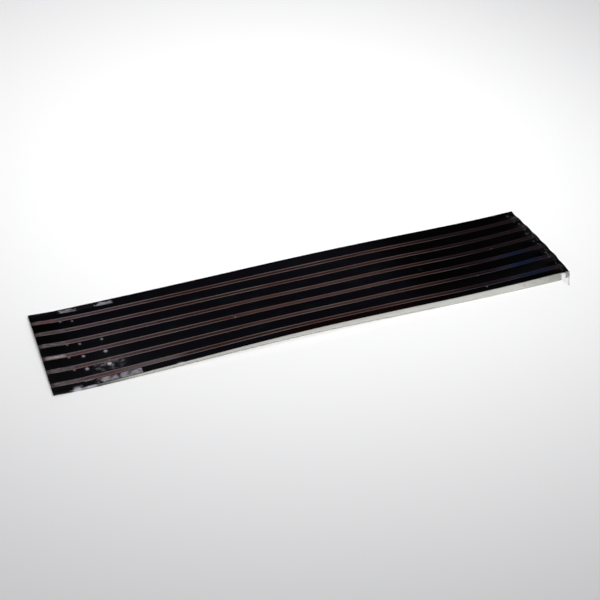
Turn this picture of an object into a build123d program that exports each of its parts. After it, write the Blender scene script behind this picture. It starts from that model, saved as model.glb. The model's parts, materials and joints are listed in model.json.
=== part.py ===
from build123d import *
import os

# Flexible thin-film solar sheet: a striped cell foil laminated between two clear films.
# +X runs along the sheet from its terminal end, +Y towards its back long edge and +Z out of its
# lit face. The origin lies under the middle of the sheet's box, on the plane of the rear face.
# The laminate is divided across its length into segments that hinge at mid thickness, so each
# layer of one segment is a piece of its own.

# Outline of the laminate, in millimetres.
SHEET_LENGTH = 270.0
CELL_FIELD_WIDTH = 57.8
MARGIN_AT_TERMINAL_END = 0.8
MARGIN_AT_FAR_END = 5.4
TAIL_ROOT_FROM_END = 8.2
TAIL_TIP_FROM_END = 7.3
TAIL_REACH = 5.5

# Layers, from the rear face up.
BACKING_THICKNESS = 0.18
CARRIER_THICKNESS = 0.05
CELL_THICKNESS = 0.05
COVER_THICKNESS = 0.18

# Stripes: seven cells side by side, with a gap between neighbours that holds two printed lines.
# At the terminal end the two lines of a gap run together into one printed field.
CELL_COUNT = 7
FIRST_GAP_CENTRE = 8.3
CELL_PITCH = 8.83
GAP_WIDTH = 2.7
LINE_WIDTH = 0.55
PRINTED_FIELD_LENGTH = 16.0

# Current collection: a tinned ribbon behind each outer stripe and a pad on its lit face.
RIBBON_WIDTH = 2.5
RIBBON_THICKNESS = 0.05
PAD_START = 13.5
PAD_LENGTH = 27.5
PAD_WIDTH = 3.2
PAD_THICKNESS = 0.05
PAD_TO_BACK_EDGE = 0.6

# Segments: a longer one under the pads, then equal ones, with a slit that clears each bend.
SEGMENT_COUNT = 8
TERMINAL_SEGMENT_LENGTH = 45.0
SEGMENT_SLIT = 0.2

# Levels of the layer faces and places across the sheet that follow from the sizes above.
RIBBON_BOTTOM_Z = BACKING_THICKNESS - RIBBON_THICKNESS
CELL_BOTTOM_Z = BACKING_THICKNESS + CARRIER_THICKNESS
CELL_TOP_Z = CELL_BOTTOM_Z + CELL_THICKNESS
COVER_TOP_Z = CELL_TOP_Z + COVER_THICKNESS
SHEET_WIDTH = CELL_FIELD_WIDTH + MARGIN_AT_FAR_END + TAIL_REACH
LEFT_X = -SHEET_LENGTH / 2
RIGHT_X = SHEET_LENGTH / 2
BACK_Y = SHEET_WIDTH / 2
FIELD_FRONT_Y = BACK_Y - CELL_FIELD_WIDTH
FIELD_MIDDLE_Y = BACK_Y - CELL_FIELD_WIDTH / 2
GAP_CENTRES_Y = [BACK_Y - FIRST_GAP_CENTRE - i * CELL_PITCH for i in range(CELL_COUNT - 1)]
CELL_BACKS_Y = [BACK_Y] + [y - GAP_WIDTH / 2 for y in GAP_CENTRES_Y]
CELL_FRONTS_Y = [y + GAP_WIDTH / 2 for y in GAP_CENTRES_Y] + [FIELD_FRONT_Y]
LAST_CELL_MIDDLE_Y = (CELL_BACKS_Y[-1] + CELL_FRONTS_Y[-1]) / 2
PAD_ROWS_Y = {
    "plus": BACK_Y - PAD_TO_BACK_EDGE - PAD_WIDTH / 2,
    "minus": LAST_CELL_MIDDLE_Y,
}
PAD_MIDDLE_X = LEFT_X + PAD_START + PAD_LENGTH / 2
PLAIN_SEGMENT_LENGTH = (SHEET_LENGTH - TERMINAL_SEGMENT_LENGTH) / (SEGMENT_COUNT - 1)


def segment_span(number):
    """X of the two ends of a segment, counted from 1 at the terminal end."""
    first_hinge_x = LEFT_X + TERMINAL_SEGMENT_LENGTH
    start = first_hinge_x + (number - 2) * PLAIN_SEGMENT_LENGTH + SEGMENT_SLIT / 2
    end = first_hinge_x + (number - 1) * PLAIN_SEGMENT_LENGTH - SEGMENT_SLIT / 2
    if number == 1:
        start = LEFT_X
    if number == SEGMENT_COUNT:
        end = RIGHT_X
    return start, end


def film_front_y(x):
    """Y of the films' front edge, which isn't parallel to the stripes."""
    share = (x - LEFT_X) / SHEET_LENGTH
    margin = MARGIN_AT_TERMINAL_END + share * (MARGIN_AT_FAR_END - MARGIN_AT_TERMINAL_END)
    return FIELD_FRONT_Y - margin


def film_outline(number):
    """Corners of a segment's clear film; the far segment ends in a pointed tail of film."""
    start, end = segment_span(number)
    corners = [(start, film_front_y(start)), (start, BACK_Y), (end, BACK_Y)]
    if number < SEGMENT_COUNT:
        corners.append((end, film_front_y(end)))
    else:
        tail_root_x = RIGHT_X - TAIL_ROOT_FROM_END
        corners.append((end, FIELD_FRONT_Y))
        corners.append((RIGHT_X - TAIL_TIP_FROM_END, -SHEET_WIDTH / 2))
        corners.append((tail_root_x, film_front_y(tail_root_x)))
    return corners


def strip(start, end, back_y, front_y):
    """Adds a rectangle between two ends and two long edges to the sketch being built."""
    with Locations(((start + end) / 2, (back_y + front_y) / 2)):
        Rectangle(end - start, back_y - front_y)


def ribbons(start, end):
    """Adds the two ribbon outlines of a segment to the sketch being built."""
    for row_y in PAD_ROWS_Y.values():
        strip(start, end, row_y + RIBBON_WIDTH / 2, row_y - RIBBON_WIDTH / 2)


def cells(start, end):
    """Adds the stripes of a segment to the sketch being built."""
    for back_y, front_y in zip(CELL_BACKS_Y, CELL_FRONTS_Y):
        strip(start, end, back_y, front_y)


def lines(start, end):
    """Adds the printed lines along both sides of every gap to the sketch being built."""
    for centre_y in GAP_CENTRES_Y:
        gap_back_y = centre_y + GAP_WIDTH / 2
        gap_front_y = centre_y - GAP_WIDTH / 2
        strip(start, end, gap_back_y, gap_back_y - LINE_WIDTH)
        strip(start, end, gap_front_y + LINE_WIDTH, gap_front_y)
        if start == LEFT_X:
            strip(start, start + PRINTED_FIELD_LENGTH, gap_back_y, gap_front_y)


def pads():
    """Adds the two pad outlines to the sketch being built."""
    for row_y in PAD_ROWS_Y.values():
        with Locations((PAD_MIDDLE_X, row_y)):
            Rectangle(PAD_LENGTH, PAD_WIDTH)


def finish(builder, name):
    """Labels a finished piece and writes it to its own file."""
    builder.part.label = name
    export_step(builder.part, f"parts/{name}.step")


os.makedirs("parts", exist_ok=True)

for number in range(1, SEGMENT_COUNT + 1):
    start, end = segment_span(number)

    # Rear laminating film, with a groove for each ribbon in its adhesive face.
    with BuildPart() as backing_film:
        with BuildSketch(Plane.XY):
            with BuildLine():
                Polyline(*film_outline(number), close=True)
            make_face()
        extrude(amount=BACKING_THICKNESS)
        with BuildSketch(Plane.XY.offset(RIBBON_BOTTOM_Z)):
            ribbons(start, end)
        extrude(amount=RIBBON_THICKNESS, mode=Mode.SUBTRACT)
    finish(backing_film, f"backing_film_{number}")

    # Tinned copper ribbons, pressed into the grooves against the carrier foil.
    with BuildPart() as bus_ribbons:
        with BuildSketch(Plane.XY.offset(RIBBON_BOTTOM_Z)):
            ribbons(start, end)
        extrude(amount=RIBBON_THICKNESS)
    finish(bus_ribbons, f"bus_ribbons_{number}")

    # Tinted carrier foil, which shows between the stripes.
    with BuildPart() as carrier_foil:
        with BuildSketch(Plane.XY.offset(BACKING_THICKNESS)):
            strip(start, end, BACK_Y, FIELD_FRONT_Y)
        extrude(amount=CARRIER_THICKNESS)
    finish(carrier_foil, f"carrier_foil_{number}")

    # Seven dark cell stripes.
    with BuildPart() as cell_stripes:
        with BuildSketch(Plane.XY.offset(CELL_BOTTOM_Z)):
            cells(start, end)
        extrude(amount=CELL_THICKNESS)
    finish(cell_stripes, f"cell_stripes_{number}")

    # Printed silver lines, which join each cell to the next along the gap.
    with BuildPart() as collector_lines:
        with BuildSketch(Plane.XY.offset(CELL_BOTTOM_Z)):
            lines(start, end)
        extrude(amount=CELL_THICKNESS)
    finish(collector_lines, f"collector_lines_{number}")

    # Front laminating film. It fills the gaps, meets the backing along the margin and has an
    # open window around each of the two pads.
    with BuildPart() as cover_film:
        with BuildSketch(Plane.XY.offset(BACKING_THICKNESS)):
            with BuildLine():
                Polyline(*film_outline(number), close=True)
            make_face()
        extrude(amount=COVER_TOP_Z - BACKING_THICKNESS)
        with BuildSketch(Plane.XY.offset(BACKING_THICKNESS)):
            strip(start, end, BACK_Y, FIELD_FRONT_Y)
        extrude(amount=CARRIER_THICKNESS, mode=Mode.SUBTRACT)
        with BuildSketch(Plane.XY.offset(CELL_BOTTOM_Z)):
            cells(start, end)
            lines(start, end)
        extrude(amount=CELL_THICKNESS, mode=Mode.SUBTRACT)
        if number == 1:
            with BuildSketch(Plane.XY.offset(CELL_TOP_Z)):
                pads()
            extrude(amount=COVER_THICKNESS, mode=Mode.SUBTRACT)
    finish(cover_film, f"cover_film_{number}")

# Silver contact pads on the first and last stripes, at the bottom of the windows.
for polarity, row_y in PAD_ROWS_Y.items():
    with BuildPart() as contact_pad:
        with BuildSketch(Plane.XY.offset(CELL_TOP_Z)):
            with Locations((PAD_MIDDLE_X, row_y)):
                Rectangle(PAD_LENGTH, PAD_WIDTH)
        extrude(amount=PAD_THICKNESS)
    finish(contact_pad, f"contact_pad_{polarity}")
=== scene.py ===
"""Looks of the flexible solar sheet: its layers as thin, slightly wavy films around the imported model."""
import json
import math

import bpy
import numpy as np
from mathutils import Matrix, Vector


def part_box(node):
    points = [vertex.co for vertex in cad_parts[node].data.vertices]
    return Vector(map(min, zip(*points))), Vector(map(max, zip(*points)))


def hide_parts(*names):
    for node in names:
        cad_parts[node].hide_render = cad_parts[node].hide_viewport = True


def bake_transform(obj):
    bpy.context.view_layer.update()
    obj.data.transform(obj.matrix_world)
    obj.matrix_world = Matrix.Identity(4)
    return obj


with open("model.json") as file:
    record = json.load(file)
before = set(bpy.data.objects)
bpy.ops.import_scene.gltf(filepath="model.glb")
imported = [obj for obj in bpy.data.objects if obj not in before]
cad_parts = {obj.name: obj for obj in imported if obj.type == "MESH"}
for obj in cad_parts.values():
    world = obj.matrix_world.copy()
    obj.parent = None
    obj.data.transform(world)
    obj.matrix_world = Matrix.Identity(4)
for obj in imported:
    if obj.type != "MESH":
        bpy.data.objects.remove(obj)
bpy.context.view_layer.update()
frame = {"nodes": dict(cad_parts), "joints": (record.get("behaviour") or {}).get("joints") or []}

# Everything below is in millimetres, in the frame of the model, until a mesh is written in metres.
MM = 0.001
DECIMALS = 3               # places are told apart to this many decimals of a millimetre
CLOSE = 10 ** -DECIMALS
PLACE_MAP = "sheet_place"
EDGE_SHARE = "edge_share"
nodes = frame["nodes"]


# ------------------------------------------------------------------ sizes and places, from the frame


def extent(name, axis):
    """Lowest and highest coordinate of a CAD node along an axis."""
    low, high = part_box(name)
    return low[axis] / MM, high[axis] / MM


def levels(name, axis):
    """Every coordinate along an axis that a CAD node has points at, in order."""
    return sorted({round(vertex.co[axis] / MM, DECIMALS) for vertex in nodes[name].data.vertices})


def bands(name):
    """(front, back) Y of each separate strip of a CAD node, from the back edge forwards."""
    edges = levels(name, 1)[::-1]
    return [(front, back) for back, front in zip(edges[0::2], edges[1::2])]


def front_corner(name, side):
    """Flat place of the front corner of a film node at its left (min) or right (max) end."""
    points = [vertex.co / MM for vertex in nodes[name].data.vertices]
    x = side(point.x for point in points)
    return x, min(point.y for point in points if abs(point.x - x) < CLOSE)


hinges = sorted(frame["joints"], key=lambda joint: joint["pos_m"][0])
HINGE_X = [joint["pos_m"][0] / MM for joint in hinges]
LAST = len(hinges) + 1
LEFT_X = extent("carrier_foil_1", 0)[0]
RIGHT_X = extent(f"carrier_foil_{LAST}", 0)[1]
FIELD_FRONT_Y, BACK_Y = extent("carrier_foil_1", 1)
LENGTH = RIGHT_X - LEFT_X
FIELD_WIDTH = BACK_Y - FIELD_FRONT_Y
HALF_SEGMENT = (HINGE_X[1] - HINGE_X[0]) / 2
SPAN_ENDS_X = [LEFT_X] + [x + HALF_SEGMENT for x in HINGE_X[:-1]] + [RIGHT_X]

CELLS_Y = bands("cell_stripes_2")
LINES_Y = bands("collector_lines_2")
GAPS_Y = [(lower[1], upper[0]) for upper, lower in zip(CELLS_Y, CELLS_Y[1:])]
PITCH = CELLS_Y[2][1] - CELLS_Y[3][1]
RIBBONS_Y = bands("bus_ribbons_1")
PAD_NODES = ("contact_pad_plus", "contact_pad_minus")
PADS = [extent(name, 0) + extent(name, 1) for name in PAD_NODES]       # left, right, front and back
PRINTED_FIELD_END_X = levels("collector_lines_1", 0)[1]

BACKING_Z = extent("backing_film_1", 2)
RIBBON_Z = extent("bus_ribbons_1", 2)
CARRIER_Z = extent("carrier_foil_1", 2)
CELL_Z = extent("cell_stripes_1", 2)
PAD_Z = extent("contact_pad_plus", 2)
COVER_TOP_Z = extent("cover_film_1", 2)[1]
SEAM = 0.004               # between layers that lie on each other

EDGE_START = front_corner("backing_film_1", min)
EDGE_END = front_corner(f"backing_film_{LAST - 1}", max)
EDGE_SLOPE = (EDGE_END[1] - EDGE_START[1]) / (EDGE_END[0] - EDGE_START[0])
TAIL_NODE = f"backing_film_{LAST}"
TAIL_TIP = min(((point.co / MM).xy for point in nodes[TAIL_NODE].data.vertices), key=lambda place: place.y)
TAIL_ROOT_X = min(x for x in levels(TAIL_NODE, 0) if x > HINGE_X[-1] + HALF_SEGMENT / 2)
TAIL_LENGTH = FIELD_FRONT_Y - TAIL_TIP.y
TAIL_LEAN = (RIGHT_X - TAIL_TIP.x) / TAIL_LENGTH
TAIL_CORNER_GAP = 0.05     # from the field's front corner to the tail's end beside it


# ------------------------------------------------------------------ the resting shape of the sheet

# The plain arch: what it is at the back edge, and how that changes up to the front edge. Its crest and
# half width are shares of the sheet's length.
ARCH_RISE = (1.4, 1.05)
ARCH_CREST = (0.57, -0.13)
ARCH_HALF_WIDTH = (0.27, -0.01)
ARCH_FEET = (0.36, -0.1)             # high enough for the lowest wave to clear the surface

# Rise of the short edges over the plain arch, and how far in from the edge it reaches.
TERMINAL_CURL = (0.7, 8.0)
FAR_CURL = (0.5, 20.0)
FAR_RIPPLE = (0.22, 8.0)             # up in the gaps and down in the stripes

# Waves of the middle of the sheet that its two long edges don't have: rise, distance from the
# terminal end, half width, and a skew that is below 1 for a crest nearer the back edge.
MIDDLE_WAVES = (
    (0.95, 0.0, 17.0, 0.6),
    (0.62, 35.0, 42.0, 0.85),
    (-0.95, 143.0, 38.0, 0.95),
    (-0.42, 215.0, 28.0, 0.85),
    (0.75, 270.0, 20.0, 1.0),
)

# Dip of the front stripe in the far third of the sheet, and its middle and half width as shares of
# the sheet's width.
FRONT_DIP = 0.4
FRONT_DIP_START = 190.0
FRONT_DIP_FADE = 8.0
FRONT_DIP_MIDDLE = 0.93
FRONT_DIP_HALF_WIDTH = 0.09

# Blisters: distance from the terminal end, stripes from the back, size of the first and growth to the next.
BLISTER_ROWS = (
    (18.9, (1, 3, 4, 5), 0.85, 0.15),
    (28.9, (3, 4, 5), 1.0, 0.32),
)
BLISTER_LEAN = 0.35                  # how much nearer the terminal end each one in a row is
BLISTER_FROM_GAP = 1.6               # in front of the stripe's back edge
BLISTER_RADIUS = 1.0
BLISTER_RISE = 0.13
# Grey dots on the blisters: partly the haze of the lifted film, partly painted highlight.
BLISTER_HAZE_AND_HIGHLIGHT = 0.52
BUMP_STEEPNESS = 2.2                 # of the blisters' and bumps' sides

# Small bumps along the far edge: in each gap and, a little further in, on the first, third and fifth stripe.
FAR_BUMP_INSET = 3.4
FAR_BUMP_EXTRA_INSET = 1.4
FAR_BUMP_RADIUS = 1.0
FAR_BUMP_RISE = 0.10
# Grey dots painted on the bumps as their glints.
FAR_BUMP_PAINTED_GLINT = 0.20
GAP_BUMP_SIZE = 0.8
STRIPE_BUMP_SIZE = 1.2
GAP_BUMP_SCATTER = (0.5, 0.8)        # along and across, from one gap to the next
STRIPE_BUMP_SCATTER = (0.6, -0.7)    # along and across, from one of these stripes to the next

# Crumbs of print at the gaps' front edges: distance from the terminal end, and gap from the back.
CRUMBS = ((13.5, 0), (12.9, 2), (11.8, 3), (12.3, 4))
CRUMB_RADIUS = 0.95
CRUMB_HAZE = 0.42
CRUMB_OUT = 0.45                     # in front of the gap's edge

# Blurs of the front stripe by the terminal end: from and to along and across the sheet, and haze.
FRONT_BLURS = (
    ((9.2, 12.6), (56.4, 59.6), 1.0),
    ((14.6, 19.4), (53.8, 58.8), 0.95),
    ((9.5, 19.5), (55.8, 59.6), 0.42),
    ((57.0, 60.0), (57.2, 58.6), 0.9),
)

# Specks and faint smudges: distance from the terminal end and from the back edge, radius and haze.
SPECKS = (
    (93.0, 35.6, 0.7, 0.50),
    (222.2, 44.9, 0.9, 0.22),
    (222.4, 54.4, 0.7, 0.48),
    (241.0, 26.9, 0.9, 0.20),
    (196.0, 30.8, 1.9, 0.06),
    (198.0, 21.3, 1.6, 0.05),
    (220.5, 37.3, 1.7, 0.05),
)


def blisters():
    """X, Y and size of the blisters by the terminal end."""
    for distance, stripes, first, growth in BLISTER_ROWS:
        for count, stripe in enumerate(stripes):
            x = LEFT_X + distance - BLISTER_LEAN * count
            yield x, CELLS_Y[stripe][1] - BLISTER_FROM_GAP, first + growth * count


def far_bumps():
    """X, Y and size of the small bumps along the far edge, in the gaps and on three of the stripes."""
    gap_x = RIGHT_X - FAR_BUMP_INSET
    stripe_x = gap_x - FAR_BUMP_EXTRA_INSET
    along, across = GAP_BUMP_SCATTER
    for count, gap in enumerate(GAPS_Y):
        yield gap_x + along * (count % 3), sum(gap) / 2 + across * (count % 2), GAP_BUMP_SIZE
    along, across = STRIPE_BUMP_SCATTER
    for count, stripe in enumerate(CELLS_Y[:5:2]):
        yield stripe_x + along * count, sum(stripe) / 2 + across * count, STRIPE_BUMP_SIZE


def bumps():
    """X, Y, radius and rise of every blister and bump."""
    for x, y, size in blisters():
        yield x, y, BLISTER_RADIUS * size, BLISTER_RISE * size
    for x, y, size in far_bumps():
        yield x, y, FAR_BUMP_RADIUS * size, FAR_BUMP_RISE * size


def spots():
    """X, Y, radius and strength of the grey dot on every blister, bump, crumb and speck: haze and painted
    highlight on the blisters, painted glints on the bumps, and haze on the crumbs and specks.
    """
    for x, y, size in blisters():
        yield x, y, BLISTER_RADIUS * size, BLISTER_HAZE_AND_HIGHLIGHT * size
    for x, y, size in far_bumps():
        yield x, y, FAR_BUMP_RADIUS * size, FAR_BUMP_PAINTED_GLINT * size
    for distance, gap in CRUMBS:
        yield LEFT_X + distance, GAPS_Y[gap][0] - CRUMB_OUT, CRUMB_RADIUS, CRUMB_HAZE
    for distance, across, radius, haze in SPECKS:
        yield LEFT_X + distance, BACK_Y - across, radius, haze


def edge_share(x, y):
    """How far a place lies across the clear margin: 0 at the stripes, 1 at the film's cut edge."""
    return np.clip((FIELD_FRONT_Y - y) / (FIELD_FRONT_Y - film_front_y(x)), 0.0, 1.0)


def bell(distance, half_width):
    """A smooth hump: 1 at no distance, about a third at half_width, and 0 far away."""
    return np.exp(-((distance / half_width) ** 2))


def lift(x, y):
    """Height of the resting sheet over its flat shape."""
    from_left = x - LEFT_X
    from_right = RIGHT_X - x
    across = (BACK_Y - y) / FIELD_WIDTH
    arch = (ARCH_RISE, ARCH_CREST, ARCH_HALF_WIDTH, ARCH_FEET)
    rise, crest, half_width, feet = (at_back + change * across for at_back, change in arch)
    height = feet + rise * bell(from_left / LENGTH - crest, half_width)
    for distance, (rise, reach) in ((from_left, TERMINAL_CURL), (from_right, FAR_CURL)):
        height = height + rise * bell(distance, reach)
    inside = np.clip(across, 0.0, 1.0)
    for rise, centre, half_width, skew in MIDDLE_WAVES:
        height = height + rise * np.sin(math.pi * inside ** skew) * bell(from_left - centre, half_width)
    dip_run = 0.5 + 0.5 * np.tanh((from_left - FRONT_DIP_START) / FRONT_DIP_FADE)
    height = height - FRONT_DIP * dip_run * bell(across - FRONT_DIP_MIDDLE, FRONT_DIP_HALF_WIDTH)
    gap_phase = np.cos(2 * math.pi * (y - sum(GAPS_Y[2]) / 2) / PITCH)
    rise, reach = FAR_RIPPLE
    height = height + gap_phase * rise * bell(from_right, reach)
    for bump_x, bump_y, radius, rise in bumps():
        apart = np.hypot(x - bump_x, y - bump_y)
        height = height + rise * bell(apart, radius / math.sqrt(BUMP_STEEPNESS))
    return height


def film_front_y(x):
    """Y of the films' front edge, with the pointed tail at the far end."""
    edge = EDGE_START[1] + EDGE_SLOPE * (x - EDGE_START[0])
    root_y = EDGE_START[1] + EDGE_SLOPE * (TAIL_ROOT_X - EDGE_START[0])
    corner_y = FIELD_FRONT_Y - TAIL_CORNER_GAP
    tail = np.interp(x, [TAIL_ROOT_X, TAIL_TIP.x, RIGHT_X], [root_y, TAIL_TIP.y, corner_y])
    return np.where(x < TAIL_ROOT_X, edge, tail)


# ------------------------------------------------------------------ the shared grid

FINE_STEP = 0.35                     # of the grid, by the blisters and bumps
PLAIN_STEP = 1.2                     # along the rest of the sheet
PLAIN_ROW_STEP = 0.8                 # across the rest of the sheet
MARGIN_ROWS = 7
GROOVE_SLOPE = 0.12                  # width of the slope beside a ribbon's groove
RIM_ANGLE = 50.0                     # edges sharper than this stay sharp
BUSY_LEFT_X = LEFT_X + 44.0          # the grid is fine up to here
BUSY_RIGHT_X = RIGHT_X - 14.0        # and from here on


def filled(marks, step):
    """The marks in order, with evenly spaced values between them that are no further apart than step."""
    marks = sorted(set(round(mark, DECIMALS + 1) for mark in marks))
    values = []
    for low, high in zip(marks, marks[1:]):
        count = max(1, math.ceil((high - low) / step - CLOSE))
        values.extend(low + (high - low) * i / count for i in range(count))
    return np.array(values + [marks[-1]])


def span_columns(start, end):
    """X of the grid columns of a span, closer together where the sheet has blisters and bumps."""
    stops = [BUSY_LEFT_X, BUSY_RIGHT_X, TAIL_ROOT_X, TAIL_TIP.x, PRINTED_FIELD_END_X, *PADS[0][:2]]
    marks = [start, end] + [stop for stop in stops if start < stop < end]
    plain = filled(marks, PLAIN_STEP)
    fine = filled(marks, FINE_STEP)
    plain = plain[(plain >= BUSY_LEFT_X) & (plain <= BUSY_RIGHT_X)]
    fine = fine[(fine < BUSY_LEFT_X) | (fine > BUSY_RIGHT_X)]
    return filled(np.concatenate([plain, fine]), PLAIN_STEP)


def span_rows(step):
    """Y of the grid rows across the striped field, with one at the edge of everything that lies in it."""
    marks = [FIELD_FRONT_Y, BACK_Y]
    for front, back in CELLS_Y + LINES_Y:
        marks += [front, back]
    for front, back in RIBBONS_Y:
        marks += [front - GROOVE_SLOPE, front, back, back + GROOVE_SLOPE]
    for pad in PADS:
        marks += [pad[2], pad[3]]
    return filled(marks, step)


def band_grid(columns, rows, front, back):
    """Flat places of the part of a span's grid that lies between front and back."""
    return np.meshgrid(columns, rows[(rows > front - CLOSE) & (rows < back + CLOSE)], indexing="ij")


def film_grid(columns, rows):
    """Flat places of a span's grid, with the clear margin in front of it."""
    x, y = np.meshgrid(columns, rows, indexing="ij")
    share = np.linspace(1.0, 0.0, MARGIN_ROWS + 1)[None, :-1]
    edge_y = film_front_y(columns)[:, None]
    margin_y = FIELD_FRONT_Y + share * (edge_y - FIELD_FRONT_Y)
    margin_x = np.repeat(columns[:, None], MARGIN_ROWS, axis=1)
    return np.hstack([margin_x, x]), np.hstack([margin_y, y])


# ------------------------------------------------------------------ meshes


def add_object(name, data):
    """A new object of the scene."""
    obj = bpy.data.objects.new(name, data)
    bpy.context.scene.collection.objects.link(obj)
    return obj


def slab(x, y, bottom, top, keep=None):
    """Points and faces of a closed film over a grid. bottom and top give its flat heights at places, and
    keep says which cells of the grid exist."""
    keep = np.ones((x.shape[0] - 1, x.shape[1] - 1), bool) if keep is None else keep
    rise = lift(x, y)
    upper = np.stack([x, y, top(x, y) + rise], -1).reshape(-1, 3)
    lower = np.stack([x, y, bottom(x, y) + rise], -1).reshape(-1, 3)
    index = np.arange(x.size).reshape(x.shape)
    corners = [index[:-1, :-1], index[1:, :-1], index[1:, 1:], index[:-1, 1:]]
    tops = np.stack(corners, -1)[keep]
    around = np.pad(keep, 1)
    outside = [around[1:-1, :-2], around[2:, 1:-1], around[1:-1, 2:], around[:-2, 1:-1]]
    walls = []
    for side in range(4):
        open_side = keep & ~outside[side]
        first, second = corners[side][open_side], corners[(side + 1) % 4][open_side]
        walls.append(np.stack([first + x.size, second + x.size, second, first], -1))
    faces = np.concatenate([tops, tops[:, ::-1] + x.size] + walls)
    used, faces = np.unique(faces, return_inverse=True)
    points = np.concatenate([upper, lower])[used]
    return points, faces.reshape(-1, 4)


def level(height):
    """A flat height for slab()."""
    return lambda x, y: np.full(x.shape, height)


def piece(name, slabs, span, nodes_shown, finish, slot_name):
    """A mesh made of slabs that lies over a span's hinge and stands for CAD nodes."""
    points, faces, count = [], [], 0
    for slab_points, slab_faces in slabs:
        points.append(slab_points)
        faces.append(slab_faces + count)
        count += len(slab_points)
    points, faces = np.concatenate(points), np.concatenate(faces)
    mesh = bpy.data.meshes.new(name)
    mesh.from_pydata((points * MM).tolist(), [], faces.tolist())
    mesh.shade_smooth()
    mesh.set_sharp_from_angle(angle=math.radians(RIM_ANGLE))
    places = np.stack([points[:, 0] - LEFT_X, BACK_Y - points[:, 1]], -1)
    mesh.uv_layers.new(name=PLACE_MAP).data.foreach_set("uv", places[faces.ravel()].ravel())
    share = mesh.attributes.new(EDGE_SHARE, "FLOAT", "POINT")
    share.data.foreach_set("value", edge_share(points[:, 0], points[:, 1]))
    mesh.materials.append(finish)
    obj = add_object(name, mesh)
    # The clear films cast no shadow: the shade they would lay on the floor is painted into the margin's
    # grey.
    obj.visible_shadow = slot_name != "clear_film"
    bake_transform(obj)
    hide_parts(*nodes_shown)


def in_bands(y, strips, around=0.0):
    """Whether each value of y lies in one of the strips, or around it by less than that."""
    return np.any([(y > front - around) & (y < back + around) for front, back in strips], axis=0)


def cell_middles(grid):
    """Middle of each cell of a grid of values."""
    return (grid[:-1, :-1] + grid[1:, 1:]) / 2


def window_cells(x, y):
    """Which cells of a grid stay around the two pad windows."""
    middle_x, middle_y = cell_middles(x), cell_middles(y)
    keep = np.ones(middle_x.shape, bool)
    for left, right, front, back in PADS:
        keep &= ~((middle_x > left) & (middle_x < right) & (middle_y > front) & (middle_y < back))
    return keep


def cover_bottom(x, y):
    """Underside of the cover film, which steps down to the rear film along the margin."""
    return np.where(y < FIELD_FRONT_Y - CLOSE, BACKING_Z[1], CELL_Z[1]) + SEAM


def backing_top(x, y):
    """Upper side of the rear film, with a groove under each ribbon."""
    return np.where(in_bands(y, RIBBONS_Y, CLOSE), RIBBON_Z[0], BACKING_Z[1]) - SEAM


# A printed field's ends. Its far end is forked: it runs on along both lines. Its near end is rounded.
# Both are ragged, by teeth of a size and turn per millimetre, and by what differs from gap to gap.
FIELD_FORK = 5.0
FIELD_INSET = 1.3
FIELD_ROUNDING = 0.9
TEETH = (1.2, 9.0)
GAP_VARIETY = (0.8, 2.3)
NEAR_RAGGEDNESS = 0.3


def printed_cells(x, y):
    """Which cells of a gap's grid are printed: both lines, and the field between them at the end."""
    middle_x, middle_y = cell_middles(x), cell_middles(y)
    front, back = y[0, 0], y[0, -1]
    gap_middle = (front + back) / 2
    spread = np.abs(middle_y - gap_middle) / ((back - front) / 2)
    ragged = TEETH[0] * np.sin(TEETH[1] * middle_y) + GAP_VARIETY[0] * np.sin(GAP_VARIETY[1] * gap_middle)
    field_end = PRINTED_FIELD_END_X - FIELD_FORK * (1.0 - spread) + ragged
    field_start = LEFT_X + FIELD_INSET + FIELD_ROUNDING * spread + NEAR_RAGGEDNESS * ragged
    return (in_bands(middle_y, LINES_Y) | (middle_x < field_end)) & (middle_x > field_start)


def cell_slabs(columns, rows):
    """The seven stripes of a span."""
    for front, back in CELLS_Y:
        x, y = band_grid(columns, rows, front, back)
        yield slab(x, y, level(CELL_Z[0]), level(CELL_Z[1]))


def line_slabs(columns, rows):
    """The printed lines in the six gaps of a span."""
    for front, back in GAPS_Y:
        x, y = band_grid(columns, rows, front, back)
        yield slab(x, y, level(CELL_Z[0]), level(CELL_Z[1]), printed_cells(x, y))


def ribbon_slabs(columns, rows):
    """The two ribbons of a span."""
    for front, back in RIBBONS_Y:
        x, y = band_grid(columns, rows, front, back)
        yield slab(x, y, level(RIBBON_Z[0]), level(RIBBON_Z[1] - SEAM))


def pad_slab(pad, columns, rows):
    """One contact pad at the bottom of its window."""
    left, right, front, back = pad
    inside = columns[(columns > left - CLOSE) & (columns < right + CLOSE)]
    x, y = band_grid(inside, rows, front, back)
    return slab(x, y, level(CELL_Z[1] + SEAM), level(PAD_Z[1]))


# ------------------------------------------------------------------ materials

# The values above each material have these forms, in millimetres from the terminal end or the back edge,
# or in the 0 to 1 of a pattern:
# - a step holds where it starts and ends and, if they aren't 0 and 1, its values there;
# - a fade is a step from 1 down to 0;
# - a stretch holds its start, its end, and half the fade at each of them;
# - a patch holds its start and end along and across, and half the fade at its ends and at its sides;
# - a pattern holds its grains per millimetre along and across, its detail, and its roughness.


def colour(red, green, blue):
    """A linear colour."""
    return (red, green, blue, 1.0)


# A layer under clear film: the film's gloss is a coat on it, and it has none of its own.
LAMINATED = {"Specular_IOR_Level": 0.0, "Coat_Weight": 1.0}

DOT_CORE = 0.25            # share of a soft dot's radius up to which it is full
DOT_RIM = 1.15             # and from which there is nothing of it

# Sockets of a Mix node of colours, whose names it shares with those for numbers.
FIRST_COLOUR = 6
SECOND_COLOUR = 7
MIXED_COLOUR = 2


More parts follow.
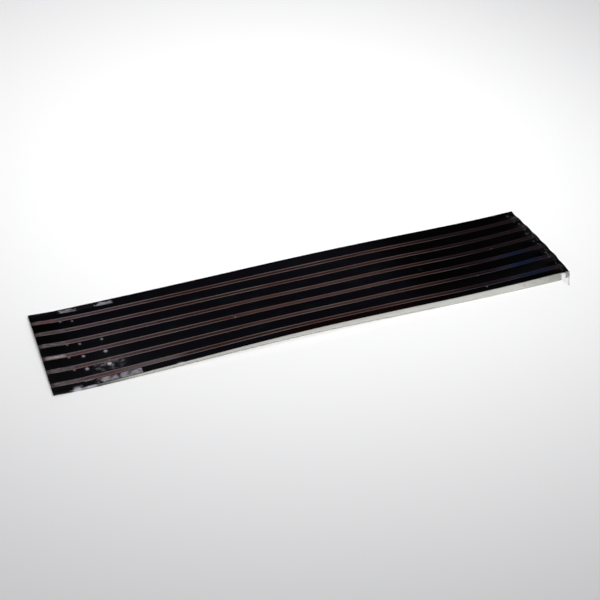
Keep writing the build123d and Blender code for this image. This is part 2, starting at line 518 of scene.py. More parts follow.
class Finish:
    """A node material under way. Its factors come from the place on the flat sheet, in millimetres."""

    def __init__(self, name, **sockets):
        self.material = bpy.data.materials.new(name)
        self.material.use_nodes = True
        self.tree = self.material.node_tree
        self.shader = self.tree.nodes["Principled BSDF"]
        for socket, value in sockets.items():
            self.shader.inputs[socket.replace("_", " ")].default_value = value
        self.place = self.add("ShaderNodeUVMap").outputs[0]
        self.tree.nodes[-1].uv_map = PLACE_MAP
        split = self.add("ShaderNodeSeparateXYZ", self.place)
        self.along, self.across = split.outputs[0], split.outputs[1]

    def add(self, kind, *inputs):
        """A node of that kind, with its first inputs linked or set."""
        node = self.tree.nodes.new(kind)
        for socket, value in zip(node.inputs, inputs):
            self.put(socket, value)
        return node

    def put(self, socket, value):
        """Links a socket to an output, or sets it to a constant."""
        if isinstance(value, bpy.types.NodeSocket):
            self.tree.links.new(value, socket)
        else:
            socket.default_value = value

    def maths(self, operation, *values, clamp=True):
        """A Math node's result, kept between 0 and 1 if it is clamped."""
        node = self.add("ShaderNodeMath", *values)
        node.operation = operation
        node.use_clamp = clamp
        return node.outputs[0]

    def both(self, first, second):
        """The product of two factors."""
        return self.maths("MULTIPLY", first, second)

    def either(self, first, second):
        """The larger of two factors."""
        return self.maths("MAXIMUM", first, second)

    def shifted(self, value, shift, share=1.0):
        """A place moved by a share of a shift."""
        return self.maths("ADD", value, self.maths("MULTIPLY", shift, share, clamp=False), clamp=False)

    def noise(self, scale, detail, rough=0.5):
        """A pattern of noise, about 0.5 on average."""
        mapping = self.add("ShaderNodeMapping", self.place)
        mapping.inputs["Scale"].default_value = (scale[0], scale[1], 1.0)
        node = self.add("ShaderNodeTexNoise", mapping.outputs[0])
        node.inputs["Scale"].default_value = 1.0
        node.inputs["Detail"].default_value = detail
        node.inputs["Roughness"].default_value = rough
        return node.outputs[0]

    def step(self, value, low, high, start=0.0, end=1.0):
        """A smooth step of value, from start at low to end at high."""
        node = self.add("ShaderNodeMapRange")
        node.interpolation_type = "SMOOTHSTEP"
        for name, amount in (("From Min", low), ("From Max", high), ("To Min", start), ("To Max", end)):
            node.inputs[name].default_value = amount
        self.put(node.inputs["Value"], value)
        return node.outputs[0]

    def fade(self, value, low, high):
        """A smooth step down, from 1 at low to 0 at high."""
        return self.step(value, low, high, 1.0, 0.0)

    def opposite(self, factor):
        """1 where a factor is 0, and 0 where it is 1."""
        return self.fade(factor, 0.0, 1.0)

    def between(self, value, low, high, soft):
        """1 between low and high, and 0 outside, with soft edges."""
        rise = self.step(value, low - soft, low + soft)
        fall = self.fade(value, high - soft, high + soft)
        return self.both(rise, fall)

    def patch(self, along, across, soft, side_soft=None):
        """1 inside a box on the sheet, and 0 outside."""
        lengthwise = self.between(self.along, *along, soft)
        crosswise = self.between(self.across, *across, side_soft or soft)
        return self.both(lengthwise, crosswise)

    def dot(self, x, y, radius, strength):
        """A soft round spot at a place of the model, in millimetres."""
        node = self.add("ShaderNodeVectorMath", self.place, (x - LEFT_X, BACK_Y - y, 0.0))
        node.operation = "DISTANCE"
        return self.step(node.outputs["Value"], radius * DOT_CORE, radius * DOT_RIM, strength, 0.0)

    def stored(self, name):
        """A number stored on the mesh."""
        node = self.add("ShaderNodeAttribute")
        node.attribute_name = name
        return node.outputs["Fac"]

    def mix(self, factor, first, second):
        """A colour between two others."""
        node = self.tree.nodes.new("ShaderNodeMix")
        node.data_type = "RGBA"
        self.put(node.inputs["Factor"], factor)
        self.put(node.inputs[FIRST_COLOUR], first)
        self.put(node.inputs[SECOND_COLOUR], second)
        return node.outputs[MIXED_COLOUR]

    def drive(self, **sockets):
        """Links outputs to the shader's sockets."""
        for socket, value in sockets.items():
            self.put(self.shader.inputs[socket.replace("_", " ")], value)
        return self.material


# ------------------------------------------------------------------ the stripes

CELL_STREAKS = ((0.03, 1.1), 4.0)
CELL_CLOUDS = ((0.09, 0.16), 3.0)
CELL_CLOUD_STEP = (0.45, 0.75)
GREYER_CELLS = (13.0, 185.0, 12.0)
BROWNER_CELLS = (108.0, 205.0)
BROWNER_WIDTH = 4.5
BROWNER_FADES = (9.0, 1.5)
CELL_ENDS = colour(0.0004, 0.0004, 0.0006)
CELL_DARK = colour(0.0016, 0.0015, 0.0026)
CELL_LIGHT = colour(0.0026, 0.0025, 0.0038)
CELL_CLOUD = colour(0.0026, 0.0034, 0.0042)
CELL_BROWN = colour(0.0034, 0.0013, 0.0012)


def cell_finish():
    """Near-black coated stripes: greyer in the middle of the sheet, and browner along the front stripe."""
    finish = Finish("cell_coating", Roughness=0.7, Coat_Roughness=0.04, Coat_IOR=1.5, **LAMINATED)
    tone = finish.mix(finish.noise(*CELL_STREAKS), CELL_DARK, CELL_LIGHT)
    clouds = finish.step(finish.noise(*CELL_CLOUDS), *CELL_CLOUD_STEP)
    tone = finish.mix(clouds, tone, CELL_CLOUD)
    front_stripe = finish.patch(BROWNER_CELLS, (FIELD_WIDTH - BROWNER_WIDTH, FIELD_WIDTH), *BROWNER_FADES)
    tone = finish.mix(front_stripe, tone, CELL_BROWN)
    middle = finish.between(finish.along, *GREYER_CELLS)
    return finish.drive(Base_Color=finish.mix(middle, CELL_ENDS, tone))


# ------------------------------------------------------------------ what the lines and the foil share

# The gaps turn blue at the far end, in the front half, and most of all in the last gap but one.
BLUE_STRETCH = (236.0, 259.0, 8.0)
BLUE_SIDE = (27.0, 40.0)
BLUE_WANES = (46.0, 52.0, 1.0, 0.8)
BLUE_DEEPENS = (238.0, 250.0)
DARKER_FROM = (182.0, 216.0)                 # the foil and the back line of each gap


def turned_blue(finish, tone, grey_blue, deep_blue):
    """A gap's tone, with its blue stretch."""
    side = finish.both(finish.step(finish.across, *BLUE_SIDE), finish.step(finish.across, *BLUE_WANES))
    shine = finish.both(finish.between(finish.along, *BLUE_STRETCH), side)
    blue = finish.mix(finish.step(finish.along, *BLUE_DEEPENS), grey_blue, deep_blue)
    return finish.mix(shine, tone, blue)


# ------------------------------------------------------------------ the printed lines and fields

PRINT_RUNS = ((0.022, 0.10), 2.0)
PRINT_GRAIN = ((0.5, 2.5), 3.0)
PRINT_WISPS = ((0.28, 1.3), 4.0, 0.6)
PRINT_RUN_STEP = (0.42, 0.60)
PRINT_ROUGHNESS = (0.2, 0.8, 0.38, 0.6)
FRONT_LINE_STEP = (0.46, 0.54)               # of the way from one stripe's middle to the next one's
PRINT_RED = colour(0.080, 0.046, 0.043)
PRINT_GREY = colour(0.100, 0.080, 0.078)

# Along the lines: paler near the terminal end, which is painted highlight, browner past the middle, dark at
# the far end, and violet on the front lines of the front gaps.
LINE_HIGHLIGHT_FADE = (25.0, 85.0)
LINE_HIGHLIGHT_PRINT = colour(0.135, 0.106, 0.118)
BROWN_STRETCH = (150.0, 206.0, 10.0)
BROWN_STRENGTH = 0.6
BROWN_PRINT = colour(0.056, 0.034, 0.031)
FRONT_LINES_DARKER_FROM = (192.0, 240.0)
DARK_PRINT = colour(0.018, 0.010, 0.013)
VIOLET_STRETCH = (208.0, 244.0, 12.0)
VIOLET_SIDE = (38.0, 46.0)
VIOLET_PRINT = colour(0.036, 0.029, 0.037)
GREY_BLUE_PRINT = colour(0.019, 0.018, 0.027)
DEEP_BLUE_PRINT = colour(0.006, 0.012, 0.034)

# The printed fields, and the spots in them with a colour of their own: gap from the back, from and to
# along the sheet, and colour.
FIELD_FADE = (9.0, 17.0)
FIELD_WISP_STEP = (0.48, 0.64)
FIELD_DARK = colour(0.050, 0.039, 0.040)
FIELD_LIGHT = colour(0.118, 0.099, 0.101)
FIELD_WISP = colour(0.165, 0.139, 0.143)
FIELD_SPOTS = (
    (0, (3.0, 14.5), colour(0.135, 0.040, 0.044)),
    (1, (3.0, 15.0), colour(0.062, 0.046, 0.046)),
    (3, (2.5, 10.5), colour(0.36, 0.31, 0.295)),
)
SPOT_BACK_INSET = 0.7
SPOT_FRONT_INSET = 0.6
SPOT_FADES = (1.8, 0.5)
SPOT_WISP_STEP = (0.25, 0.55, 0.3, 1.0)

# Runs of the front lines that have turned orange: gap from the back, and from and to along the sheet.
ORANGE_RUNS = ((2, (12.5, 17.0)), (3, (12.5, 20.0)), (4, (11.5, 20.5)), (5, (21.0, 31.0)))
ORANGE_OVER_BACK = 0.2
ORANGE_OVER_FRONT = 0.3
ORANGE_FADES = (1.5, 0.2)
ORANGE_WISP_STEP = (0.35, 0.60, 0.15, 1.0)
ORANGE_PRINT = colour(0.19, 0.070, 0.048)


def front_line(finish):
    """1 on the front line of each gap, and 0 on the back one."""
    stripe_middle = BACK_Y - sum(GAPS_Y[0]) / 2 - PITCH / 2
    past_stripe = finish.maths("SUBTRACT", finish.across, stripe_middle, clamp=False)
    turns = finish.maths("DIVIDE", past_stripe, PITCH, clamp=False)
    return finish.step(finish.maths("FRACT", turns, clamp=False), *FRONT_LINE_STEP)


def field_tone(finish, grain, wisps):
    """Colour of the printed fields, with their spots."""
    tone = finish.mix(grain, FIELD_DARK, FIELD_LIGHT)
    tone = finish.mix(finish.step(wisps, *FIELD_WISP_STEP), tone, FIELD_WISP)
    for gap, run, spot_tone in FIELD_SPOTS:
        front, back = GAPS_Y[gap]
        width = (BACK_Y - back + SPOT_BACK_INSET, BACK_Y - front - SPOT_FRONT_INSET)
        spot = finish.patch(run, width, *SPOT_FADES)
        strength = finish.both(spot, finish.step(wisps, *SPOT_WISP_STEP))
        tone = finish.mix(strength, tone, spot_tone)
    return tone


def turned_orange(finish, tone, wisps):
    """The lines' tone, with its orange runs."""
    for gap, run in ORANGE_RUNS:
        front, back = LINES_Y[2 * gap + 1]
        width = (BACK_Y - back - ORANGE_OVER_BACK, BACK_Y - front + ORANGE_OVER_FRONT)
        spot = finish.patch(run, width, *ORANGE_FADES)
        strength = finish.both(spot, finish.step(wisps, *ORANGE_WISP_STEP))
        tone = finish.mix(strength, tone, ORANGE_PRINT)
    return tone


def line_finish():
    """Printed silver that has browned: greyer or redder along its run, pale where it is a full field."""
    finish = Finish("printed_silver", Metallic=0.2, Coat_Roughness=0.06, **LAMINATED)
    grain = finish.noise(*PRINT_GRAIN)
    wisps = finish.noise(*PRINT_WISPS)
    front = front_line(finish)
    tone = finish.mix(finish.step(finish.noise(*PRINT_RUNS), *PRINT_RUN_STEP), PRINT_RED, PRINT_GREY)
    # Painted highlight: the lines are paler near the terminal end.
    tone = finish.mix(finish.fade(finish.along, *LINE_HIGHLIGHT_FADE), tone, LINE_HIGHLIGHT_PRINT)
    browner = finish.between(finish.along, *BROWN_STRETCH)
    tone = finish.mix(finish.both(browner, BROWN_STRENGTH), tone, BROWN_PRINT)
    back_darker = finish.step(finish.along, *DARKER_FROM)
    front_darker = finish.step(finish.along, *FRONT_LINES_DARKER_FROM)
    tone = finish.mix(finish.mix(front, back_darker, front_darker), tone, DARK_PRINT)
    side = finish.step(finish.across, *VIOLET_SIDE)
    violet = finish.both(finish.between(finish.along, *VIOLET_STRETCH), side)
    tone = finish.mix(finish.both(violet, front), tone, VIOLET_PRINT)
    tone = turned_blue(finish, tone, GREY_BLUE_PRINT, DEEP_BLUE_PRINT)
    tone = finish.mix(finish.fade(finish.along, *FIELD_FADE), tone, field_tone(finish, grain, wisps))
    tone = turned_orange(finish, tone, wisps)
    return finish.drive(Base_Color=tone, Roughness=finish.step(grain, *PRINT_ROUGHNESS))


# ------------------------------------------------------------------ the carrier foil

FOIL_GRAIN = ((0.25, 1.4), 3.0)
FOIL_STREAKS = ((0.12, 0.9), 2.0)
FOIL_ROUGHNESS = (0.2, 0.8, 0.3, 0.5)
FOIL_DARK = colour(0.018, 0.0085, 0.0075)
FOIL_LIGHT = colour(0.036, 0.019, 0.016)
LIGHTER_FOIL = ((95.0, 175.0), (22.0, 47.0), 9.0)
LIGHTER_TONE = colour(0.046, 0.027, 0.024)
GAP_HIGHLIGHT_FADE = (15.0, 75.0)                   # of the painted highlight on the foil by the terminal end
GAP_HIGHLIGHT_TONE = colour(0.085, 0.062, 0.066)
COVERED_RUN = (32.0, 60.0)                   # where print covers the foil of the last gap
COVERED_FADES = (5.0, 0.3)
COVERED_STRENGTH = 0.8
COVERED_TONE = colour(0.100, 0.075, 0.074)

# Orange streaks by the terminal end, fewer at the back; then the tones at the far end.
STREAK_STEP = (0.50, 0.66, 0.0, 0.35)
STREAK_STRETCH = (12.0, 34.0, 5.0)
STREAK_SIDE = (13.0, 21.0, 0.2, 1.0)
STREAK_TONE = colour(0.17, 0.050, 0.034)
FAR_TONE = colour(0.008, 0.005, 0.006)
GREY_BLUE_FOIL = colour(0.014, 0.0135, 0.022)
DEEP_BLUE_FOIL = colour(0.0045, 0.008, 0.023)


def carrier_finish():
    """Tinted foil: dark red-brown, with orange streaks by the terminal end and blue ones at the far end."""
    finish = Finish("tinted_foil", Coat_Roughness=0.05, **LAMINATED)
    grain = finish.noise(*FOIL_GRAIN)
    tone = finish.mix(grain, FOIL_DARK, FOIL_LIGHT)
    tone = finish.mix(finish.patch(*LIGHTER_FOIL), tone, LIGHTER_TONE)
    # Painted highlight: the foil in the gaps is paler by the terminal end.
    gap_highlight = finish.both(grain, finish.fade(finish.along, *GAP_HIGHLIGHT_FADE))
    tone = finish.mix(gap_highlight, tone, GAP_HIGHLIGHT_TONE)
    front, back = GAPS_Y[-1]
    covered = finish.patch(COVERED_RUN, (BACK_Y - back, BACK_Y - front), *COVERED_FADES)
    tone = finish.mix(finish.both(covered, COVERED_STRENGTH), tone, COVERED_TONE)
    streaks = finish.step(finish.noise(*FOIL_STREAKS), *STREAK_STEP)
    orange = finish.both(streaks, finish.between(finish.along, *STREAK_STRETCH))
    orange = finish.both(orange, finish.step(finish.across, *STREAK_SIDE))
    tone = finish.mix(orange, tone, STREAK_TONE)
    tone = finish.mix(finish.step(finish.along, *DARKER_FROM), tone, FAR_TONE)
    tone = turned_blue(finish, tone, GREY_BLUE_FOIL, DEEP_BLUE_FOIL)
    return finish.drive(Base_Color=tone, Roughness=finish.step(grain, *FOIL_ROUGHNESS))


# ------------------------------------------------------------------ the laminating films

FILM_FIBRES = ((0.04, 0.9), 3.0)
FILM_WISPS = ((0.40, 0.55), 4.0, 0.62)
MARGIN_STEP = (FIELD_WIDTH - 0.05, FIELD_WIDTH + 0.05)
CLEAR_COVER = 0.01                           # how much the clear film itself hides
MARGIN_COVER = 0.45                          # and its margin, its dark terminal end, and its haze and painted glints
DARK_END_COVER = 0.95
HAZE_AND_GLINT_COVER = 0.55
CLEAR_TONE = colour(0.01, 0.01, 0.01)
# Colour of the haze and of the painted highlights and glints.
HAZE_AND_GLINT_TONE = colour(0.55, 0.55, 0.60)

# The clear margin: cloudy grey, which is partly the film's own tint and partly painted shade of the floor
# under it, as the clear films cast no shadow; greyer towards the far end, which is painted shade under its
# raised edge; and with a darker rim that is wider by the terminal end and fades along the sheet.
MARGIN_DARK = colour(0.45, 0.45, 0.42)
MARGIN_LIGHT = colour(0.53, 0.53, 0.50)
FAR_MARGIN_SHADE_STEP = (232.0, 264.0, 0.0, 0.6)
FAR_MARGIN_SHADE = colour(0.20, 0.195, 0.16)
RIM_WIDENS = (45.0, 110.0, 0.26, 0.0)
RIM_STEP = (0.84, 0.95)                      # of the way across the margin
RIM_FADES = (170.0, 230.0, 0.55, 0.1)
RIM_TONE = colour(0.24, 0.205, 0.17)

# The margin is dark at the terminal end: fully on the first millimetres, and less after them.
FULL_DARK_END_FADE = (6.5, 12.0)
WEAK_DARK_END = (16.0, 42.0, 0.80, 0.0)
DARK_END_TONE = colour(0.004, 0.004, 0.006)

# The tail, measured outwards along a line that leans with its edge: clear from near the field's corner on,
# and creased beside the corner and along its outer edge, with the grey shade of its folds painted on.
TAIL_CLEARS = (LENGTH - 5.4, LENGTH - 4.4, 1.0, 0.04)
CORNER_CREASE = (LENGTH - 2.6, LENGTH - 2.2)
CORNER_CREASE_SHARE = 0.42                   # of the tail's length
EDGE_CREASE = (LENGTH - 0.7, LENGTH - 0.3, 0.0, 0.5)
CREASE_FADE = 0.15
CREASE_SHADE_TONE = colour(0.24, 0.24, 0.235)

# The haze and painted glints: a torn cloud by the last blisters, torn blurs, faint veils with their
# strength, and painted glints on the creases along the far edge.
TORN_CLOUD = ((21.0, 36.0), (43.0, 50.5), 3.0)
TORN_CLOUD_STEP = (0.42, 0.72, 0.06, 0.52)
BLUR_FADES = (1.0, 0.8)
BLUR_STEP = (0.30, 0.70, 1.0, 0.55)
VEILS = (
    (((40.0, 60.0), (50.8, 54.0), 5.0, 0.5), 0.13),
    (((22.0, 37.0), (33.0, 51.0), 4.0), 0.028),
)
# Painted glints: light grey marks where the crinkled far edge catches the light.
FAR_CREASE_GLINTS = ((0.9, 0.35), 3.0, 0.6)
FAR_CREASE_STEP = (0.54, 0.70, 0.0, 0.36)
FAR_CREASE_STRETCH = (LENGTH - 5.0, LENGTH - 1.0, 1.0)


def tail_creases(finish, below, outward):
    """Where the tail is creased and painted grey with the shade of its folds, from how far in front of the
    field and how far outwards it is.
    """
    beside_corner = finish.between(below, 0.0, CORNER_CREASE_SHARE * TAIL_LENGTH, CREASE_FADE)
    corner = finish.both(finish.step(outward, *CORNER_CREASE), beside_corner)
    beside_edge = finish.between(below, 0.0, TAIL_LENGTH, CREASE_FADE)
    return finish.either(corner, finish.both(finish.step(outward, *EDGE_CREASE), beside_edge))


def margin_dark_end(finish, margin):
    """Where the margin is dark, by the terminal end."""
    full = finish.fade(finish.along, *FULL_DARK_END_FADE)
    return finish.both(finish.either(full, finish.step(finish.along, *WEAK_DARK_END)), margin)


def margin_tone(finish, creases, dark_end):
    """Colour of the margin and the tail, with their painted shade."""
    share = finish.shifted(finish.stored(EDGE_SHARE), finish.step(finish.along, *RIM_WIDENS))
    rim = finish.both(finish.step(share, *RIM_STEP), finish.step(finish.along, *RIM_FADES))
    # The margin's grey is partly the film's tint and partly painted shade of the floor under it.
    tone = finish.mix(finish.noise(*FILM_FIBRES), MARGIN_DARK, MARGIN_LIGHT)
    # Painted shade: the margin greys towards the far end, under its raised edge.
    tone = finish.mix(finish.step(finish.along, *FAR_MARGIN_SHADE_STEP), tone, FAR_MARGIN_SHADE)
    # The creases' grey is painted shade of the tail's folds.
    for factor, other in ((creases, CREASE_SHADE_TONE), (rim, RIM_TONE), (dark_end, DARK_END_TONE)):
        tone = finish.mix(factor, tone, other)
    return tone


def film_haze(finish):
    """Where the film is hazy, because it didn't take to what is under it, and where highlights and glints
    are painted on the blisters, bumps and far edge.
    """
    wisps = finish.noise(*FILM_WISPS)
    haze = finish.both(finish.patch(*TORN_CLOUD), finish.step(wisps, *TORN_CLOUD_STEP))
    torn = finish.step(wisps, *BLUR_STEP)
    for along, across, strength in FRONT_BLURS:
        blur = finish.both(finish.patch(along, across, *BLUR_FADES), torn)
        haze = finish.either(haze, finish.both(blur, strength))
    for patch, strength in VEILS:
        haze = finish.either(haze, finish.both(finish.patch(*patch), strength))
    creases = finish.step(finish.noise(*FAR_CREASE_GLINTS), *FAR_CREASE_STEP)
    creases = finish.both(creases, finish.between(finish.along, *FAR_CREASE_STRETCH))
    haze = finish.either(haze, creases)
    # Haze on the crumbs and specks, haze and painted highlight on the blisters, and painted glints on the
    # bumps.
    for spot in spots():
        haze = finish.either(haze, finish.dot(*spot))
    return haze


def film_finish(name, haze_cover):
    """Clear laminating film: barely there over the stripes, cloudy grey along the bare margin, which is
    partly painted shade of the floor under it, dark at the terminal end, cloudy where it didn't take to the
    cells, and with painted highlights and glints on the blisters, the bumps and the crinkled far edge."""
    finish = Finish(name, Roughness=0.12, IOR=1.5)
    margin = finish.step(finish.across, *MARGIN_STEP)
    below = finish.maths("SUBTRACT", finish.across, FIELD_WIDTH, clamp=False)
    outward = finish.shifted(finish.along, below, TAIL_LEAN)
    creases = tail_creases(finish, below, outward)
    # Where the film hides what is under it: the grey margin, partly painted shade, and the painted shade of
    # the tail's creases.
    milky_and_shaded = finish.either(finish.both(margin, finish.step(outward, *TAIL_CLEARS)), creases)
    dark_end = margin_dark_end(finish, margin)
    haze = film_haze(finish)
    tone = finish.mix(margin, CLEAR_TONE, margin_tone(finish, creases, dark_end))
    tone = finish.mix(haze, tone, HAZE_AND_GLINT_TONE)
    cover = CLEAR_COVER
    for factor, amount in ((milky_and_shaded, MARGIN_COVER), (dark_end, DARK_END_COVER - MARGIN_COVER), (haze, haze_cover)):
        cover = finish.maths("MULTIPLY_ADD", factor, amount, cover)
    return finish.drive(Base_Color=tone, Alpha=cover)


# ------------------------------------------------------------------ the pads and ribbons

# Where the pads are bright: two runs of the back one, and all of the front one but its near end and a
# notch. Wisps shift the ends and sides of the bright patches.
PAD_WISPS = ((0.35, 0.6), 4.0, 0.6)
PAD_SHIFT = (0.25, 0.75, -2.2, 2.2)
PAD_SIDE_SHIFT = 0.35
BACK_PAD_RUNS = ((15.4, 22.5, 0.8), (32.7, 41.0, 0.8))
BACK_PAD_WIDTH = (1.5, 3.7, 0.4)
FRONT_PAD_START = (19.0, 24.0)
FRONT_HALF = (FIELD_WIDTH / 2 - 1, FIELD_WIDTH / 2 + 1)
NOTCH_STRETCH = (30.1, 30.6, 0.3)
NOTCH_DOT = (LEFT_X + 30.3, BACK_Y - 55.2, 1.2, 1.0)
NOTCH_STEP = (0.0, 1.0, 1.0, 0.15)
TARNISH_STEP = (0.34, 0.62, 0.25, 1.0)
PAD_ROUGHNESS = (0.3, 0.7, 0.35, 0.55)
PAD_DARK = colour(0.006, 0.0055, 0.0065)
PAD_BRIGHT = colour(0.31, 0.305, 0.33)

RIBBON_STREAKS = ((0.05, 4.0), 3.0)
RIBBON_ROUGHNESS = (0.25, 0.75, 0.28, 0.42)
RIBBON_DARK = colour(0.42, 0.41, 0.39)
RIBBON_LIGHT = colour(0.62, 0.61, 0.58)


def pad_finish():
    """Silver contact pad, bright in ragged patches and tarnished dark between them."""
    finish = Finish("silver_pad", Metallic=0.4, Specular_IOR_Level=0.0)
    wisps = finish.noise(*PAD_WISPS)
    shift = finish.step(wisps, *PAD_SHIFT)
    along = finish.shifted(finish.along, shift)
    across = finish.shifted(finish.across, shift, PAD_SIDE_SHIFT)
    on_front = finish.step(finish.across, *FRONT_HALF)
    back_bright = finish.either(*(finish.between(along, *run) for run in BACK_PAD_RUNS))
    back_bright = finish.both(back_bright, finish.between(across, *BACK_PAD_WIDTH))
    back_bright = finish.both(back_bright, finish.opposite(on_front))
    notch = finish.either(finish.between(finish.along, *NOTCH_STRETCH), finish.dot(*NOTCH_DOT))
    front_bright = finish.both(finish.step(along, *FRONT_PAD_START), on_front)
    front_bright = finish.both(front_bright, finish.step(notch, *NOTCH_STEP))
    bright = finish.both(finish.either(back_bright, front_bright), finish.step(wisps, *TARNISH_STEP))
    tone = finish.mix(bright, PAD_DARK, PAD_BRIGHT)
    return finish.drive(Base_Color=tone, Roughness=finish.step(wisps, *PAD_ROUGHNESS))


def ribbon_finish():
    """Tinned copper ribbon with rolling streaks."""
    finish = Finish("tinned_ribbon", Metallic=1.0)
    streaks = finish.noise(*RIBBON_STREAKS)
    tone = finish.mix(streaks, RIBBON_DARK, RIBBON_LIGHT)
    return finish.drive(Base_Color=tone, Roughness=finish.step(streaks, *RIBBON_ROUGHNESS))


# ------------------------------------------------------------------ the layers, span by span


def span_layers(columns, rows):
    """Slabs, name of the CAD nodes, and slot of each layer of a span."""
    film = film_grid(columns, rows)
    field = band_grid(columns, rows, FIELD_FRONT_Y, BACK_Y)
    backing = slab(*film, level(0.0), backing_top)
    carrier = slab(*field, level(CARRIER_Z[0]), level(CARRIER_Z[1] - SEAM))
    cover = slab(*film, cover_bottom, level(COVER_TOP_Z), window_cells(*film))
    return {
        "backing": ([backing], "backing_film", "clear_film"),
        "ribbons": (ribbon_slabs(columns, rows), "bus_ribbons", "tinned_ribbon"),
        "carrier": ([carrier], "carrier_foil", "tinted_foil"),
        "cells": (cell_slabs(columns, rows), "cell_stripes", "cell"),
        "lines": (line_slabs(columns, rows), "collector_lines", "silver_print"),
        "cover": ([cover], "cover_film", "clear_film"),
    }


def build_sheet():
    """Every layer of every span, and the two pads."""
    finishes = {
        "backing": film_finish("backing_clear", 0.0),
        "ribbons": ribbon_finish(),
        "carrier": carrier_finish(),
        "cells": cell_finish(),
        "lines": line_finish(),
        "cover": film_finish("cover_clear", HAZE_AND_GLINT_COVER),
    }
    silver = pad_finish()
    for span, (start, end) in enumerate(zip(SPAN_ENDS_X, SPAN_ENDS_X[1:]), 1):
        segments = [1, 2] if span == 1 else [span + 1]
        columns = span_columns(start, end)
        rows = span_rows(FINE_STEP if span in (1, LAST - 1) else PLAIN_ROW_STEP)
        for layer, (slabs, node, slot_name) in span_layers(columns, rows).items():
            shown = [f"{node}_{segment}" for segment in segments]
            piece(f"{layer}_{span}", slabs, span, shown, finishes[layer], slot_name)
        if span == 1:
            for pad, node in zip(PADS, PAD_NODES):
                slabs = [pad_slab(pad, columns, rows)]
                piece(f"{node}_foil", slabs, span, [node], silver, "silver_pad")


# ------------------------------------------------------------------ surroundings

# Brightness of the surroundings by the sine of the elevation, behind the sheet and on the near side.
FAR_SIDE_GLOW = (
    (0.0, 0.8),
    (0.2, 0.7),
    (0.36, 0.05),
    (0.56, 0.003),
    (0.66, 0.02),
    (0.76, 0.08),
    (0.86, 0.3),
    (1.0, 0.45),
)
NEAR_SIDE_GLOW = ((0.0, 0.8), (0.1, 0.6), (0.2, 0.12), (0.42, 0.12), (0.6, 1.1), (1.0, 1.1))
NEAR_SIDE_BLEND = (-0.1, -0.5)       # from and to, in the direction's Y
GLOW_BLUENESS = 1.04                 # blue over red and green

# The camera: what it looks at, from how far and in which direction, its roll and its lens. Azimuths turn
# from +Y to +X, and angles are in degrees.
CAMERA_TARGET = (-7.0, 1.7, 0.86)
CAMERA_DISTANCE = 520.3
CAMERA_AZIMUTH = 24.02
CAMERA_ELEVATION = -38.73
CAMERA_ROLL = 2.66
CAMERA_LENS = 62.86
CAMERA_SENSOR = 36.0
CAMERA_NEAR_END = 10.0

# The softbox: its spread is the opening of its grid, and its power is in watts.
SOFTBOX_PLACE = (20.0, -200.0, 600.0)
SOFTBOX_TARGET = (54.0, 286.0, 0.0)
SOFTBOX_SIDE = 420.0
SOFTBOX_SPREAD = 76.0
SOFTBOX_POWER = 1.33

FLOOR_REACH = 6000.0
FLOOR_TONE = colour(0.86, 0.86, 0.855)
FLOOR_ROUGHNESS = 0.9
FLOOR_GLOSS = 0.1


def direction(azimuth, elevation):
    """Unit vector towards a point of the surroundings."""
    azimuth, elevation = math.radians(azimuth), math.radians(elevation)
    level_part = math.cos(elevation)
    return Vector((math.sin(azimuth) * level_part, math.cos(azimuth) * level_part, math.sin(elevation)))


def add_camera():
    """The camera, in front of the terminal half of the sheet and above it."""
    data = bpy.data.cameras.new("camera")
    data.sensor_width = CAMERA_SENSOR
    data.lens = CAMERA_LENS
    data.clip_start = CAMERA_NEAR_END * MM
    camera = add_object("camera", data)
    towards = direction(CAMERA_AZIMUTH, CAMERA_ELEVATION)
    place = (Vector(CAMERA_TARGET) - towards * CAMERA_DISTANCE) * MM
    turn = towards.to_track_quat("-Z", "Y").to_matrix().to_4x4()
    roll = Matrix.Rotation(math.radians(CAMERA_ROLL), 4, "Z")
    camera.matrix_world = Matrix.Translation(place) @ turn @ roll
    bpy.context.scene.camera = camera


def add_floor():
    """A plain pale floor under the sheet."""
    reach = FLOOR_REACH * MM
    mesh = bpy.data.meshes.new("floor")
    corners = [(-reach, -reach, 0), (reach, -reach, 0), (reach, reach, 0), (-reach, reach, 0)]
    mesh.from_pydata(corners, [], [(0, 1, 2, 3)])
    floor = add_object("floor", mesh)
    material = bpy.data.materials.new("pale_floor")
    material.use_nodes = True
    shader = material.node_tree.nodes["Principled BSDF"]
    shader.inputs["Base Color"].default_value = FLOOR_TONE
    shader.inputs["Roughness"].default_value = FLOOR_ROUGHNESS
    shader.inputs["Specular IOR Level"].default_value = FLOOR_GLOSS
    mesh.materials.append(material)


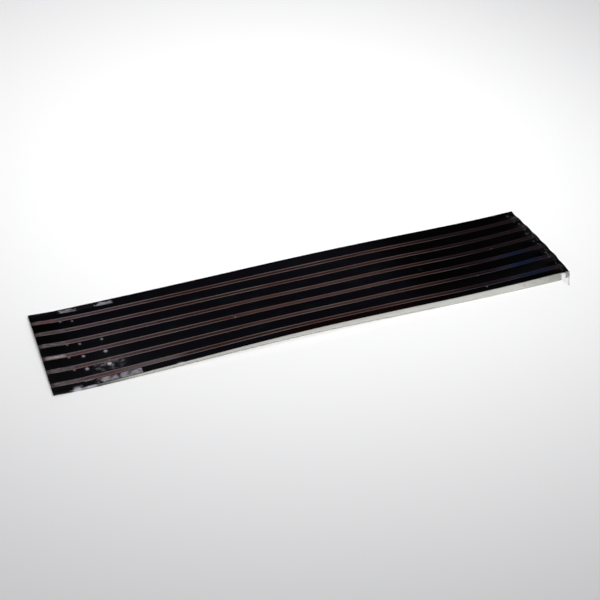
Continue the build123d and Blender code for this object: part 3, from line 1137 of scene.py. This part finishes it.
def add_softbox():
    """A gridded softbox over the front of the sheet, turned towards the floor behind it."""
    data = bpy.data.lights.new("overhead_softbox", "AREA")
    data.shape = "SQUARE"
    data.size = SOFTBOX_SIDE * MM
    data.energy = SOFTBOX_POWER
    data.spread = math.radians(SOFTBOX_SPREAD)
    place = Vector(SOFTBOX_PLACE) * MM
    turn = (place - Vector(SOFTBOX_TARGET) * MM).to_track_quat("Z", "Y").to_matrix().to_4x4()
    add_object("overhead_softbox", data).matrix_world = Matrix.Translation(place) @ turn


def glow_ramp(tree, height, stops):
    """Colour of the surroundings by the sine of the elevation."""
    ramp = tree.nodes.new("ShaderNodeValToRGB")
    tree.links.new(height, ramp.inputs["Fac"])
    elements = ramp.color_ramp.elements
    while len(elements) < len(stops):
        elements.new(0.5)                # its own position follows below
    for element, (position, value) in zip(elements, stops):
        element.position = position
        element.color = colour(value, value, value * GLOW_BLUENESS)
    return ramp.outputs["Color"]


def add_world():
    """Surroundings: pale at the horizon and overhead, and darker between, most of all behind the sheet."""
    world = bpy.data.worlds.new("studio")
    world.use_nodes = True
    tree = world.node_tree
    where = tree.nodes.new("ShaderNodeTexCoord")
    split = tree.nodes.new("ShaderNodeSeparateXYZ")
    turn = tree.nodes.new("ShaderNodeMapRange")
    sides = tree.nodes.new("ShaderNodeMix")
    sides.data_type = "RGBA"
    turn.interpolation_type = "SMOOTHSTEP"
    turn.inputs["From Min"].default_value, turn.inputs["From Max"].default_value = NEAR_SIDE_BLEND
    tree.links.new(where.outputs["Generated"], split.inputs[0])
    tree.links.new(split.outputs["Y"], turn.inputs["Value"])
    tree.links.new(turn.outputs[0], sides.inputs["Factor"])
    for socket, stops in ((FIRST_COLOUR, FAR_SIDE_GLOW), (SECOND_COLOUR, NEAR_SIDE_GLOW)):
        tree.links.new(glow_ramp(tree, split.outputs["Z"], stops), sides.inputs[socket])
    tree.links.new(sides.outputs[MIXED_COLOUR], tree.nodes["Background"].inputs["Color"])
    bpy.context.scene.world = world


bpy.context.scene.view_settings.view_transform = "Standard"
add_camera()
add_floor()
add_softbox()
add_world()
build_sheet()
